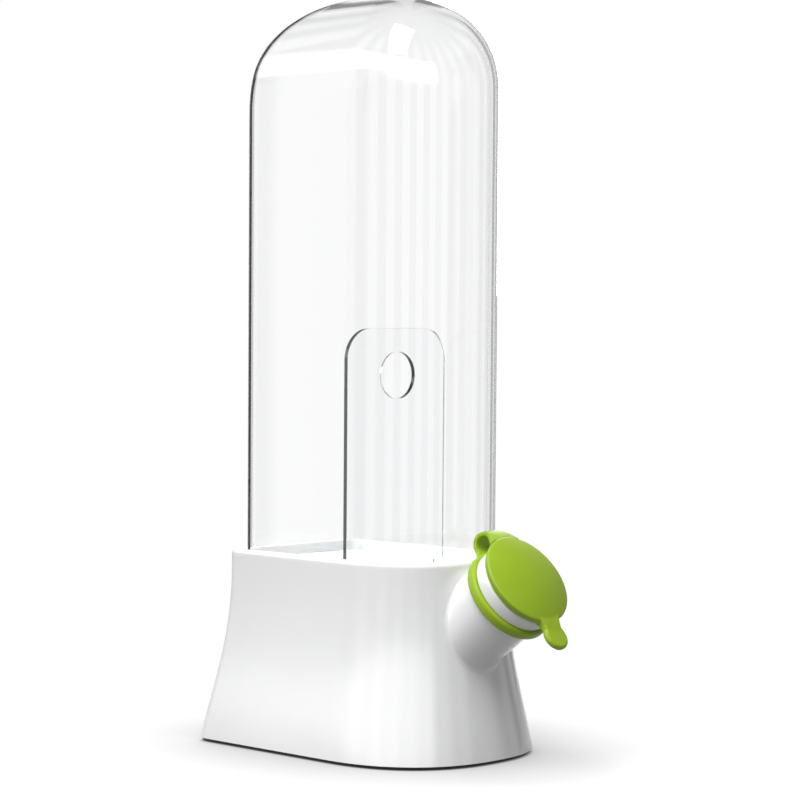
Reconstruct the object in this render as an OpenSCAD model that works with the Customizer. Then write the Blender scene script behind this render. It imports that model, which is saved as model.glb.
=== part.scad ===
// Herb keeper: a clear dome on a white water base with a slanted filler spout.
// Millimetres. +Z is up, the spout looks towards -Y, and z = 0 is the face that the
// keeper stands on, with the origin under the middle of the base.

/* [Base] */
// Width of the base at its foot
foot_width = 91; // [84:1:112]
// Depth of the base at its foot
foot_depth = 118; // [112:1:146]
// Width of the base at its rim
rim_width = 71.5; // [70:0.5:76]
// Depth of the base at its rim
rim_depth = 101; // [100:0.5:106]
// How far the rim's middle lies behind the foot's middle
rim_setback = 1; // [0:0.25:3]
// Height of the rim
rim_height = 75; // [73:1:92]
// Wall of the base
shell_wall = 2.5; // [2:0.1:3]
// Radius on the rim's outer edge
rim_round = 1.5; // [1:0.1:2]
// Radius of the upright corners at the back
back_corner = 6; // [5:0.5:8]
// Squareness of the rounded front, where 2 is an ellipse
front_power = 2.4; // [2:0.1:3]
// Share of the depth that the rounded front takes
front_share = 0.4; // [0.3:0.02:0.46]

/* [Foot] */
// Thickness of the black non-slip pad under the base
foot_pad_thickness = 1.2; // [1:0.1:2]
// How far the pad's edge stands back from the base's edge
foot_pad_inset = 0.6; // [0.4:0.1:1.5]
// Thickness of the plate that closes the reservoir
bottom_plate_thickness = 2.5; // [2:0.1:3.5]
// Thickness of the gasket under the plate's edge
gasket_thickness = 1.5; // [1:0.1:2]
// Width of the gasket
gasket_width = 3; // [2.5:0.5:4]

/* [Dome] */
// Height of the whole keeper
overall_height = 288; // [240:1:346]
// Width of the dome
dome_width = 61.5; // [58:0.5:62]
// Depth of the dome
dome_depth = 93; // [86:0.5:94]
// Wall of the dome
dome_wall = 2.4; // [2:0.1:3]
// Radius where the vault turns down into the flat back
vault_back_round = 43; // [34:1:44]
// Radius where the vault turns down into the round front
vault_front_round = 37; // [32:1:40]
// Depth of the dome in the base's mouth
dome_seat_depth = 4.3; // [4:0.1:5]
// Gap between the dome and the base's mouth
mouth_gap = 0.8; // [0.5:0.1:1.2]
// Thickness of the soft ring that the dome stands on
dome_seal_thickness = 1.2; // [1:0.1:1.6]
// Width of the ledge that carries the dome and the tray
ledge_width = 7; // [6.5:0.5:9]
// Thickness of that ledge
ledge_thickness = 2.5; // [2:0.1:3]

/* [Stem tray] */
// Thickness of the tray's floor
tray_thickness = 2; // [1.6:0.1:3]
// Depth of the tray's floor below the ledge
tray_drop = 14; // [10:1:20]
// Diameter of the water holes
tray_hole = 4; // [3:0.1:5]
// Distance between the water holes
tray_hole_pitch = 8.5; // [8:0.5:12]
// Gap round the tray
tray_gap = 1; // [0.6:0.1:1.5]
// Height of the divider above the tray
divider_height = 92; // [60:1:110]
// Thickness of the divider's leaves
divider_leaf = 1.8; // [1.4:0.1:2.4]
// Where the divider stands, along the keeper's depth
divider_at = -6; // [-7:1:20]
// Diameter of the finger hole in the divider
finger_hole = 18; // [15:0.5:22]
// Thickness of the tray's wall and of its flange
tray_wall = 1.6; // [1.2:0.1:2.2]

/* [Spout] */
// Angle of the spout above level
spout_angle = 37.5; // [34:0.5:40]
// Outer diameter of the spout's tube
spout_diameter = 31.4; // [30:0.2:32]
// Bore of the spout
spout_bore = 26.8; // [25:0.2:27.2]
// Diameter of the spout's lip
lip_diameter = 34.4; // [33:0.2:36]
// Length of the spout's lip
lip_length = 5.5; // [5:0.5:7]
// Height of the collar's middle on the spout
collar_height = 63.5; // [61:0.5:66]
// How far the collar's middle stands out from the rim's front
collar_reach = 15; // [14:0.5:17]

/* [Stopper] */
// Outer diameter of the collar
collar_diameter = 37; // [36:0.5:39]
// Thickness of the collar
collar_thickness = 4.4; // [4:0.2:5]
// Diameter of the disc
cap_diameter = 37; // [36:0.5:39]
// Height of the disc's side
cap_side = 3.2; // [2.8:0.1:4]
// Height of the disc's crown over its side
cap_crown = 2; // [1.5:0.1:2.5]
// Depth of the plug in the spout
plug_depth = 4.5; // [3.5:0.1:5]
// Wall of the hollow plug
plug_wall = 2; // [1.6:0.1:2.6]
// Gap round the plug and under the disc
stopper_gap = 0.3; // [0.3:0.05:0.5]
// Width of the hinge strap
strap_width = 8; // [7:0.5:10]
// Thickness of the hinge strap
strap_thickness = 1.7; // [1.4:0.1:2]
// Width of the pull tab
tab_width = 10.5; // [9:0.5:12]
// How far the pull tab reaches past the disc
tab_reach = 11; // [10:0.5:14]
// Thickness of the pull tab
tab_thickness = 2.6; // [2.2:0.1:3.2]

/* [Hidden] */
$fn = 72;

// Colours, as the photograph shows them
gloss_white = [0.94, 0.94, 0.95];
soft_black = [0.06, 0.06, 0.06];
lime_green = [0.56, 0.74, 0.13];
clear_plastic = [0.85, 0.90, 0.92, 0.35];
pale_rubber = [0.88, 0.89, 0.88];

// Steps of the lofts
corner_steps = 5;   // in each corner at the back
front_steps = 24;   // round the front
wall_steps = 14;    // up the base's flare
round_steps = 4;    // over a small round
shoulder_steps = 3; // from the first round's start to the spring of the vault
vault_steps = 11;   // over the dome's vault
vault_last = 86;    // angle of the vault's last level, in degrees
vault_least_nose = 0.5; // least depth of the round front, at the top of the vault

// Small clearances and overlaps
seat_gap = 0.1;     // between a lift-off piece and what it stands on
joint_gap = 0.15;   // between bonded or snapped pieces
cut = 1;            // how far a cutter runs past a face

// The base's flare takes most of its width from the lowest third
flare_power = 2.8;
flare_swell = 1.6;

// Outlines of the foot, the rim and the dome
foot_half = foot_width / 2;
foot_back = foot_depth / 2;
foot_front = -foot_depth / 2;
rim_half = rim_width / 2;
rim_back = rim_setback + rim_depth / 2;
rim_front = rim_setback - rim_depth / 2;
dome_half = dome_width / 2;
dome_back = rim_setback + dome_depth / 2;
dome_front = rim_setback - dome_depth / 2;
dome_nose = dome_front + front_share * dome_depth;

// Heights
plate_z = foot_pad_thickness;
gasket_z = plate_z + bottom_plate_thickness;
gasket_seat_z = gasket_z + gasket_thickness;
dome_foot_z = rim_height - dome_seat_depth;
seal_z = dome_foot_z - seat_gap - dome_seal_thickness;
ledge_z = seal_z;
vault_spring_z = overall_height - dome_half;
shoulder_z = overall_height - max(vault_back_round, vault_front_round);
tray_flange_z = ledge_z + seat_gap;
tray_floor_z = ledge_z - tray_drop;

// Places measured outwards from the dome's outline
mouth_grow = mouth_gap;
ledge_grow = mouth_gap - ledge_width;
tray_flange_grow = -dome_wall - tray_gap;
tray_wall_grow = ledge_grow - tray_gap;
tray_inside_grow = tray_wall_grow - tray_wall;

// Divider
divider_tab = 8;        // width of a tab that snaps into the tray's floor
divider_tab_at = 10;    // its middle, out from the keeper's middle
divider_round = 12;     // radius of the divider's upper corners
divider_top_z = tray_flange_z + divider_height;
finger_z = divider_top_z - finger_hole;

// Stopper and spout, measured along the spout from the collar's middle
collar_y = rim_front - collar_reach;
spout_radius = spout_diameter / 2;
bore_radius = spout_bore / 2;
lip_radius = lip_diameter / 2;
cap_radius = cap_diameter / 2;
collar_radius = collar_diameter / 2;
lip_start = collar_thickness / 2 + seat_gap;
lip_end = lip_start + lip_length;
cap_under = lip_end + stopper_gap;
cap_edge = cap_under + cap_side;
spout_inside = 6;                   // from the rim's front to the tube's inner end
spout_inner_y = rim_front + spout_inside;
spout_root = 50;                    // length of the tube before its inner end is cut
loop_radius = 4.3;                  // of the strap's middle line in its loop
loop_along = 2.5;                   // the loop's middle, along the spout
loop_out = 20.4;                    // and out from its axis

// Share of the flare at a height: 0 at the rim and 1 at the foot
function flare(z) = let (t = max(0, 1 - z / rim_height))
    pow(t, flare_power) * (1 + flare_swell * (1 - t));

function mix(a, b, share) = a + (b - a) * share;

// An outline seen from above, anticlockwise: flat back, straight sides, round front
function outline(half, back, front, nose, corner) =
    let (r = min(corner, 0.6 * half), bend = 2 / front_power)
    concat(
        [for (i = [0:corner_steps]) let (a = 90 * i / corner_steps)
            [half - r + r * cos(a), back - r + r * sin(a)]],
        [for (i = [0:corner_steps]) let (a = 90 * i / corner_steps)
            [r - half - r * sin(a), back - r + r * cos(a)]],
        [for (i = [0:front_steps]) let (a = 180 * i / front_steps)
            [-half * sign(cos(a)) * pow(abs(cos(a)), bend),
             nose - (nose - front) * pow(abs(sin(a)), bend)]]);

// The base's outline at a height, set in by a wall
function base_outline(z, inset) =
    let (f = flare(z), back = mix(rim_back, foot_back, f), front = mix(rim_front, foot_front, f))
    outline(mix(rim_half, foot_half, f) - inset, back - inset, front + inset,
            front + front_share * (back - front), max(1, back_corner - inset));

// The dome's outline, grown outwards
function dome_outline(grow) =
    outline(dome_half + grow, dome_back + grow, dome_front - grow, dome_nose,
            max(1, back_corner - 1 + grow));

function at_height(points, z) = [for (p = points) [p[0], p[1], z]];

// How far a round of radius r has drawn in at a height h above its start
function drawn_in(r, h) = h <= 0 ? 0 : r - sqrt(max(0, r * r - h * h));

// One level of the dome's top, for the face that lies a wall's thickness in
function dome_level(half, z, wall) =
    let (back_z = overall_height - vault_back_round,
         front_z = overall_height - vault_front_round,
         back = dome_back - wall - drawn_in(vault_back_round - wall, z - back_z),
         front = dome_front + wall + drawn_in(vault_front_round - wall, z - front_z))
    at_height(outline(half, back, front, max(dome_nose, front + vault_least_nose),
                      max(1, back_corner - 1 - wall)), z);

// The dome's levels from its foot to its top: upright to the shoulder, where the first
// round starts, and over the vault from its spring
function dome_rings(wall) = let (half = dome_half - wall) concat(
    [at_height(dome_outline(-wall), dome_foot_z)],
    [for (i = [0:shoulder_steps - 1])
        dome_level(half, mix(shoulder_z, vault_spring_z, i / shoulder_steps), wall)],
    [for (i = [0:vault_steps]) let (a = vault_last * i / vault_steps)
        dome_level(half * cos(a), vault_spring_z + half * sin(a) / sin(vault_last), wall)]);

function reversed(list) = [for (i = [len(list) - 1:-1:0]) list[i]];

// A skin over rings that all have as many points. A closed skin joins its last ring to
// its first, and an open one has a flat face on its first and its last ring.
module skin(rings, closed) {
    count = len(rings[0]);
    last = len(rings) - 1;
    sides = [for (i = [0:closed ? last : last - 1], j = [0:count - 1])
        let (up = (i + 1) % (last + 1), next = (j + 1) % count)
        [i * count + j, up * count + j, up * count + next, i * count + next]];
    caps = closed ? [] : [
        [for (j = [0:count - 1]) j],
        [for (j = [count - 1:-1:0]) last * count + j]];
    polyhedron([for (ring = rings, p = ring) p], concat(sides, caps), convexity = 8);
}

// A flat plate or block with an outline, from z to z + height
module slab(points, z, height) {
    translate([0, 0, z]) linear_extrude(height) polygon(points);
}

// The spout's own frame: its axis is +Z, and +Y is upwards across it
module at_spout() {
    translate([0, collar_y, collar_height]) rotate([90 - spout_angle, 0, 0]) children();
}

// A ring whose outer edges are rounded, from z = low to z = high
module round_ring(inner, outer, low, high, edge) {
    rotate_extrude() polygon(concat(
        [[inner, high], [inner, low]],
        [for (i = [0:round_steps]) let (a = 90 * i / round_steps)
            [outer - edge + edge * sin(a), low + edge - edge * cos(a)]],
        [for (i = [0:round_steps]) let (a = 90 * i / round_steps)
            [outer - edge + edge * cos(a), high - edge + edge * sin(a)]]));
}

module base_shell() {
    outer = concat(
        [for (i = [0:wall_steps])
            let (z = mix(foot_pad_thickness, rim_height - rim_round, i / wall_steps))
            at_height(base_outline(z, 0), z)],
        [for (i = [1:round_steps]) let (a = 90 * i / round_steps)
            at_height(base_outline(rim_height, rim_round * (1 - cos(a))),
                      rim_height - rim_round * (1 - sin(a)))]);
    mouth = [
        at_height(dome_outline(mouth_grow + rim_round / 3), rim_height),
        at_height(dome_outline(mouth_grow), rim_height - rim_round / 3),
        at_height(dome_outline(mouth_grow), ledge_z),
        at_height(dome_outline(ledge_grow), ledge_z),
        at_height(dome_outline(ledge_grow), ledge_z - ledge_thickness)];
    inner_top = ledge_z - ledge_thickness - rim_round;
    seat_top = gasket_seat_z + gasket_width;
    inner = [for (i = [0:wall_steps])
        let (z = mix(inner_top, seat_top + gasket_width, i / wall_steps))
        at_height(base_outline(z, shell_wall), z)];
    seat = [
        at_height(base_outline(gasket_seat_z, shell_wall + gasket_width), seat_top),
        at_height(base_outline(gasket_seat_z, shell_wall + gasket_width), gasket_seat_z),
        at_height(base_outline(gasket_seat_z, shell_wall), gasket_seat_z),
        at_height(base_outline(foot_pad_thickness, shell_wall), foot_pad_thickness)];
    color(gloss_white) difference() {
        skin(concat(outer, mouth, inner, seat), true);
        at_spout() translate([0, 0, -spout_root]) cylinder(h = spout_root, r = spout_radius + joint_gap);
    }
}

module bottom_plate() {
    color(gloss_white)
        slab(base_outline(gasket_z, shell_wall + joint_gap), plate_z, bottom_plate_thickness);
}

module bottom_gasket() {
    edge = shell_wall + joint_gap;
    color(pale_rubber) difference() {
        slab(base_outline(gasket_seat_z, edge), gasket_z, gasket_thickness);
        slab(base_outline(gasket_seat_z, edge + gasket_width), gasket_z - cut,
             gasket_thickness + 2 * cut);
    }
}

module foot_pad() {
    color(soft_black) slab(base_outline(foot_pad_thickness, foot_pad_inset), 0, foot_pad_thickness);
}

module filler_spout() {
    lip_edge = 1;       // chamfer round the spout's mouth
    color(gloss_white) difference() {
        at_spout() rotate_extrude() polygon([
            [bore_radius, -spout_root], [spout_radius, -spout_root],
            [spout_radius, lip_start], [lip_radius, lip_start],
            [lip_radius, lip_end - lip_edge], [lip_radius - lip_edge, lip_end],
            [bore_radius + lip_edge / 2, lip_end], [bore_radius, lip_end - lip_edge / 2]]);
        translate([-spout_root, spout_inner_y, -spout_root])
            cube([2 * spout_root, 2 * spout_root, 4 * spout_root]);
    }
}

module dome_seal() {
    color(pale_rubber) difference() {
        slab(dome_outline(0), seal_z, dome_seal_thickness);
        slab(dome_outline(-dome_wall), seal_z - cut, dome_seal_thickness + 2 * cut);
    }
}

module dome_cover() {
    color(clear_plastic) skin(concat(reversed(dome_rings(dome_wall)), dome_rings(0)), false);
}

// Is a water hole's middle far enough inside the tray's wall and off the divider?
function hole_fits(x, y) =
    let (room = tray_hole / 2 + tray_wall,
         half = dome_half + tray_inside_grow - room,
         back = dome_back + tray_inside_grow - room,
         reach = dome_nose - dome_front + tray_inside_grow - room)
    abs(x) <= half && y <= back && abs(y - divider_at) > room + divider_leaf
    && pow(abs(x) / half, front_power) + pow(max(0, dome_nose - y) / reach, front_power) <= 1;

module stem_tray() {
    rows = floor(dome_depth / 2 / tray_hole_pitch);
    columns = floor(dome_half / tray_hole_pitch);
    color(gloss_white) difference() {
        union() {
            slab(dome_outline(tray_flange_grow), tray_flange_z, tray_wall);
            slab(dome_outline(tray_wall_grow), tray_floor_z - tray_thickness,
                 tray_flange_z - tray_floor_z + tray_thickness);
        }
        slab(dome_outline(tray_inside_grow), tray_floor_z, tray_drop + tray_wall + cut);
        for (i = [-columns:columns], j = [-rows:rows])
            let (x = i * tray_hole_pitch, y = rim_setback + j * tray_hole_pitch)
                if (hole_fits(x, y))
                    translate([x, y, tray_floor_z - tray_thickness - cut])
                        cylinder(h = tray_thickness + 2 * cut, d = tray_hole);
        for (side = [-1, 1])
            translate([side * divider_tab_at - divider_tab / 2 - joint_gap,
                       divider_at - divider_leaf / 2 - joint_gap,
                       tray_floor_z - tray_thickness - cut])
                cube([divider_tab + 2 * joint_gap, divider_leaf + 2 * joint_gap,
                      tray_thickness + 2 * cut]);
    }
}

module stem_divider() {
    low_half = dome_half + tray_inside_grow - tray_gap / 2;
    high_half = dome_half + tray_flange_grow - tray_gap / 2;
    step_z = tray_flange_z + tray_wall + seat_gap;
    color(clear_plastic)
        translate([0, divider_at + divider_leaf / 2, 0])
            rotate([90, 0, 0]) linear_extrude(divider_leaf) difference() {
                union() {
                    translate([-low_half, tray_floor_z])
                        square([2 * low_half, divider_height / 2]);
                    translate([-high_half, step_z])
                        square([2 * high_half, divider_top_z - divider_round - step_z]);
                    translate([divider_round - high_half, step_z])
                        square([2 * (high_half - divider_round), divider_top_z - step_z]);
                    for (side = [-1, 1]) {
                        translate([side * (high_half - divider_round), divider_top_z - divider_round])
                            circle(divider_round);
                        translate([side * divider_tab_at - divider_tab / 2,
                                   tray_floor_z - tray_thickness])
                            square([divider_tab, tray_thickness + cut]);
                    }
                }
                translate([0, finger_z]) circle(d = finger_hole);
            }
}

module stopper_collar() {
    color(lime_green) at_spout()
        round_ring(spout_radius + seat_gap, collar_radius, -collar_thickness / 2,
                   collar_thickness / 2, collar_thickness / 3);
}

// The strap runs out from the collar, round its loop and down to the disc's edge
module stopper_hinge() {
    loop_start = 205;
    loop_end = 45;
    steps = 12;
    half = strap_thickness / 2;
    root = collar_radius - strap_thickness;
    tip = cap_radius + stopper_gap;
    function on_loop(r, a) = [loop_out + r * sin(a), loop_along + r * cos(a)];
    function run_down(point) = [tip, point[1] + (point[0] - tip) * tan(90 - loop_end)];
    outer = [for (i = [0:steps]) on_loop(loop_radius + half, mix(loop_start, loop_end, i / steps))];
    inner = [for (i = [steps:-1:0]) on_loop(loop_radius - half, mix(loop_start, loop_end, i / steps))];
    color(lime_green) at_spout() difference() {
        translate([-strap_width / 2, 0, 0]) rotate([90, 0, 90]) linear_extrude(strap_width)
            polygon(concat(
                [[root, outer[0][1]]], outer,
                [run_down(outer[steps]), run_down(inner[0])], inner,
                [[root, inner[steps][1]]]));
        translate([0, 0, -collar_thickness]) cylinder(h = 2 * collar_thickness, r = collar_radius);
    }
}

module stopper_cap() {
    edge = 1;           // round on the disc's edge
    crown_steps = 6;
    plug_radius = bore_radius - stopper_gap;
    plug_end = cap_under - plug_depth;
    tab_neck = 0.8 * tab_width;
    tab_end = -cap_radius - tab_reach + tab_width / 2;
    hollow = plug_radius - plug_wall;
    ceiling = cap_under + edge;
    crown = [for (i = [0:crown_steps]) let (share = 1 - i / crown_steps)
        [(cap_radius - edge) * share, cap_edge + cap_crown * (1 - share * share)]];
    color(lime_green) at_spout() {
        rotate_extrude() polygon(concat(
            [[0, ceiling], [hollow, ceiling], [hollow, plug_end], [plug_radius - edge / 2, plug_end],
             [plug_radius, plug_end + 1.5 * edge], [plug_radius, cap_under],
             [cap_radius - edge / 2, cap_under], [cap_radius, cap_under + edge / 2],
             [cap_radius, cap_edge - edge]],
            crown));
        translate([0, 0, cap_under]) linear_extrude(tab_thickness) difference() {
            union() {
                translate([0, tab_end]) circle(d = tab_width);
                translate([-tab_neck / 2, tab_end]) square([tab_neck, tab_reach]);
            }
            circle(r = cap_radius - edge);
        }
    }
}

base_shell();
bottom_plate();
bottom_gasket();
foot_pad();
filler_spout();
dome_seal();
dome_cover();
stem_tray();
stem_divider();
stopper_collar();
stopper_hinge();
stopper_cap();
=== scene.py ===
# %% [markdown]
# # A herb keeper in a white studio
# The keeper is a tall clear dome that stands in a flared white water base. A filler spout
# slants out of the base's front, and a green silicone stopper closes it. The CAD model is
# loaded as a fixed frame, and each piece of it either gets a better finish or is made again
# here with the smooth curves that the real moulding has. This cell loads the frame and
# keeps its box, which the lamps later aim at.

# %% Load the frame
import math
from functools import partial

import bmesh
import bpy
import numpy as np
from mathutils import Matrix, Quaternion, Vector


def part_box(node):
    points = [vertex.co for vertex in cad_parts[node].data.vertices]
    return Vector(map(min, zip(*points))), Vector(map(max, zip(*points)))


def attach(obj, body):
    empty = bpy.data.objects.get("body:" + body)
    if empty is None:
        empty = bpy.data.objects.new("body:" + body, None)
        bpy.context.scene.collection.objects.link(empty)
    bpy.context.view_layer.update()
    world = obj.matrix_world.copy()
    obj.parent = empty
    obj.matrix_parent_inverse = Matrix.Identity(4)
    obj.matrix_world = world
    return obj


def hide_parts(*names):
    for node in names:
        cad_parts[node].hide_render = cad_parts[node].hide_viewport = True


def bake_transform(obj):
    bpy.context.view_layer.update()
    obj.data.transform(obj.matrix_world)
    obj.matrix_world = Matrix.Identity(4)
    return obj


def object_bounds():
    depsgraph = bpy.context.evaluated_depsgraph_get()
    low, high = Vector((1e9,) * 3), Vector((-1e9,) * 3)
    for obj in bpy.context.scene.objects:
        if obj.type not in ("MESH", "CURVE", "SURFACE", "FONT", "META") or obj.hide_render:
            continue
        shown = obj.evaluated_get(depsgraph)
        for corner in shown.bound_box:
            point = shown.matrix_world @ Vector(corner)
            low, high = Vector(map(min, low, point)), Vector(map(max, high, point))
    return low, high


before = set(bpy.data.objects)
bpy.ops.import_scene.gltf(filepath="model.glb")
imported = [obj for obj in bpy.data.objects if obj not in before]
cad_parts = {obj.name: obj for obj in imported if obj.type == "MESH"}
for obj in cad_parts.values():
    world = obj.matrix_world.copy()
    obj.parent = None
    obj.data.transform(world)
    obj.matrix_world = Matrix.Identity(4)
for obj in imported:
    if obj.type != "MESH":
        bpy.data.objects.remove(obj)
cad_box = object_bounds()
MM = 0.001
print("CAD box in mm:", [[round(v / MM, 1) for v in corner] for corner in cad_box])

# %% [markdown]
# ## Sizes
# Everything that the frame can say is read from it: where the dome stands, how wide it is,
# where the collar sits on the spout. Only what a box can't tell, such as a radius or a wall,
# is written as a number. It is the number in the part's source, but for the disc's crown,
# which is 1.7 mm higher here, and the strap, which has a curved lug here.

# %% Sizes of the base and the dome
dome_low, dome_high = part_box("dome_cover")
shell_low, shell_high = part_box("base_shell")
DOME_HALF = dome_high.x
DOME_BACK, DOME_FRONT = dome_high.y, dome_low.y
DOME_FOOT, DOME_TOP = dome_low.z, dome_high.z
DOME_WALL = 2.4 * MM
FOOT_HALF, FOOT_BACK = 45.5 * MM, 59 * MM
RIM_HALF = 35.75 * MM
RIM_BACK, RIM_FRONT = 51.5 * MM, -49.5 * MM
RIM_Z, PAD_Z = shell_high.z, shell_low.z
SHELL_WALL = 2.5 * MM
BACK_CORNER = 6 * MM
FRONT_POWER = 2.4
FRONT_SHARE = 0.4
DOME_NOSE = DOME_FRONT + FRONT_SHARE * (DOME_BACK - DOME_FRONT)
print("dome foot, dome top, rim in mm:", [round(v / MM, 1) for v in (DOME_FOOT, DOME_TOP, RIM_Z)])

# %% Sizes of the spout and the stopper
SPOUT_ANGLE = math.radians(37.5)
collar_low, collar_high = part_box("stopper_collar")
SPOUT_MIDDLE = np.array((collar_low + collar_high) / 2)
ALONG = np.array((0, -math.cos(SPOUT_ANGLE), math.sin(SPOUT_ANGLE)))
UPWARDS = np.array((0, math.sin(SPOUT_ANGLE), math.cos(SPOUT_ANGLE)))
SIDEWAYS = np.array((1.0, 0, 0))
SPOUT_RADIUS = 15.7 * MM
BORE_RADIUS = 13.4 * MM
LIP_RADIUS = 17.2 * MM
LIP_START, LIP_END = 2.3 * MM, 7.8 * MM
CAP_RADIUS = 18.5 * MM
CAP_UNDER, CAP_EDGE, CAP_TOP = 8.1 * MM, 11.3 * MM, 15.0 * MM
COLLAR_RADIUS = 18.5 * MM
COLLAR_HALF = 2.2 * MM


# %% [markdown]
# ## The camera
# The camera stands where the photographer's stood: a metre away, a little above the middle
# of the keeper, and turned so that the spout points to the lower right. It is made first,
# because every later choice is judged through it. A long lens keeps the sides almost
# upright, as in the photograph.

# %% Camera
VIEW_AZIMUTH = math.radians(-46.2)
CAMERA_DISTANCE = 1.0
CAMERA_HEIGHT = 0.1707
CAMERA_PITCH = math.radians(3.0)
CAMERA_ROLL = math.radians(0.4)
FOCAL_PIXELS = 2595
FRAME_PIXELS = 800
MIDDLE_PIXEL = (385.1, 440.0)
SENSOR = 36.0


def in_scene(name, data):
    """A new object in the scene, made from its data."""
    thing = bpy.data.objects.new(name, data)
    bpy.context.scene.collection.objects.link(thing)
    return thing


def make_camera():
    """The camera at the photograph's place, with the shift that its framing needs."""
    data = bpy.data.cameras.new("photo_camera")
    data.sensor_width = SENSOR
    data.lens = FOCAL_PIXELS / FRAME_PIXELS * SENSOR
    data.shift_x = 0.5 - MIDDLE_PIXEL[0] / FRAME_PIXELS
    data.shift_y = MIDDLE_PIXEL[1] / FRAME_PIXELS - 0.5
    camera = in_scene("photo_camera", data)
    camera.location = (CAMERA_DISTANCE * math.sin(VIEW_AZIMUTH),
                       -CAMERA_DISTANCE * math.cos(VIEW_AZIMUTH), CAMERA_HEIGHT)
    look = Vector((-math.sin(VIEW_AZIMUTH) * math.cos(CAMERA_PITCH),
                   math.cos(VIEW_AZIMUTH) * math.cos(CAMERA_PITCH), -math.sin(CAMERA_PITCH)))
    camera.rotation_mode = "QUATERNION"
    camera.rotation_quaternion = Quaternion(look, -CAMERA_ROLL) @ look.to_track_quat("-Z", "Y")
    bpy.context.scene.camera = camera


make_camera()
print("lens", round(bpy.context.scene.camera.data.lens, 1), "mm")

# %% [markdown]
# ## Trees of nodes
# Shader trees and geometry trees are built the same way: a node of some kind, a few
# settings, and sources for its inputs. One small helper does that, so that the trees below
# read from top to bottom like a recipe.


# %% A helper for every node tree
def add(tree, kind, *sources, **settings):
    """Adds a node. A source is an output socket, a plain value, or None to leave an input."""
    node = tree.nodes.new(kind)
    for key, value in settings.items():
        setattr(node, key, value)
    usable = [socket for socket in node.inputs if socket.enabled]
    for socket, source in zip(usable, sources):
        if isinstance(source, bpy.types.NodeSocket):
            tree.links.new(source, socket)
        elif source is not None:
            socket.default_value = source
    return node


def out(node, index=0):
    """One of a node's outputs, counted among those in use."""
    return [socket for socket in node.outputs if socket.enabled][index]


def maths(tree, operation, *sources):
    """The result of a Math node."""
    return out(add(tree, "ShaderNodeMath", *sources, operation=operation))


def eased(tree, value, start, end, low=0.0, high=1.0):
    """Runs from low to high while a value goes from start to end, with soft ends."""
    return out(add(tree, "ShaderNodeMapRange", value, start, end, low, high,
                   interpolation_type="SMOOTHSTEP"))


# %% [markdown]
# ## A shared effect: the skin of a moulding
# No moulded plastic or silicone is perfectly even. It has a fine grain from the tool, slow
# waves where the wall has shrunk, and faint patches where hands have been. All the
# materials here need that, each with its own sizes, so it is one node group. It gives a
# height for bump and a mask for the patches, and each material decides what to do with them.


# %% The moulded skin group
def moulded_skin():
    """A node group: Grain and Wave sizes in, a Height and a Patches mask out."""
    group = bpy.data.node_groups.new("moulded skin", "ShaderNodeTree")
    for name, value in (("Grain Scale", 900.0), ("Wave Scale", 40.0), ("Wave Share", 0.5),
                        ("Patch Scale", 25.0)):
        socket = group.interface.new_socket(name, in_out="INPUT", socket_type="NodeSocketFloat")
        socket.default_value = value
    for name in ("Height", "Patches"):
        group.interface.new_socket(name, in_out="OUTPUT", socket_type="NodeSocketFloat")
    given = group.nodes.new("NodeGroupInput").outputs
    place = group.nodes.new("ShaderNodeTexCoord").outputs["Object"]
    grain = add(group, "ShaderNodeTexNoise", place, given["Grain Scale"], 2.0, 0.5)
    wave = add(group, "ShaderNodeTexNoise", place, given["Wave Scale"], 1.0, 0.4)
    patch = add(group, "ShaderNodeTexNoise", place, given["Patch Scale"], 3.0, 0.6)
    height = maths(group, "ADD", maths(group, "MULTIPLY", out(wave), given["Wave Share"]),
                   maths(group, "MULTIPLY", out(grain),
                         maths(group, "SUBTRACT", 1.0, given["Wave Share"])))
    soft = add(group, "ShaderNodeMapRange", out(patch), 0.35, 0.65, 0.0, 1.0)
    end = group.nodes.new("NodeGroupOutput")
    group.links.new(height, end.inputs["Height"])
    group.links.new(out(soft), end.inputs["Patches"])
    return group


SKIN = moulded_skin()


def skin_node(tree, grain, wave, share, patch):
    """The moulded skin in a material, with that material's own sizes."""
    node = tree.nodes.new("ShaderNodeGroup")
    node.node_tree = SKIN
    for name, value in zip(("Grain Scale", "Wave Scale", "Wave Share", "Patch Scale"),
                           (grain, wave, share, patch)):
        node.inputs[name].default_value = value
    return node


# %% Starting a material
def start_material(name, **values):
    """A material with one Principled shader whose sockets are set by name, with _ for a space."""
    material = bpy.data.materials.new(name)
    material.use_nodes = True
    tree = material.node_tree
    tree.nodes.clear()
    shader = tree.nodes.new("ShaderNodeBsdfPrincipled")
    for key, value in values.items():
        shader.inputs[key.replace("_", " ")].default_value = value
    end = tree.nodes.new("ShaderNodeOutputMaterial")
    tree.links.new(shader.outputs[0], end.inputs["Surface"])
    return material, tree, shader, end


def vary(tree, shader, socket, mask, low, high):
    """Runs a value from low to high over a mask."""
    spread = add(tree, "ShaderNodeMapRange", mask, 0.0, 1.0, low, high)
    tree.links.new(out(spread), shader.inputs[socket])


def vary_colour(tree, shader, mask, one, other):
    """Runs the base colour from one to the other over a mask."""
    mix = add(tree, "ShaderNodeMix", mask, one, other, data_type="RGBA")
    tree.links.new(out(mix), shader.inputs["Base Color"])


def bump(tree, shader, height, distance, strength=1.0):
    """Feeds a height, in a real distance, into the shader's normal."""
    node = tree.nodes.new("ShaderNodeBump")
    node.inputs["Strength"].default_value = strength
    node.inputs["Distance"].default_value = distance
    tree.links.new(height, node.inputs["Height"])
    tree.links.new(node.outputs[0], shader.inputs["Normal"])


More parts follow.
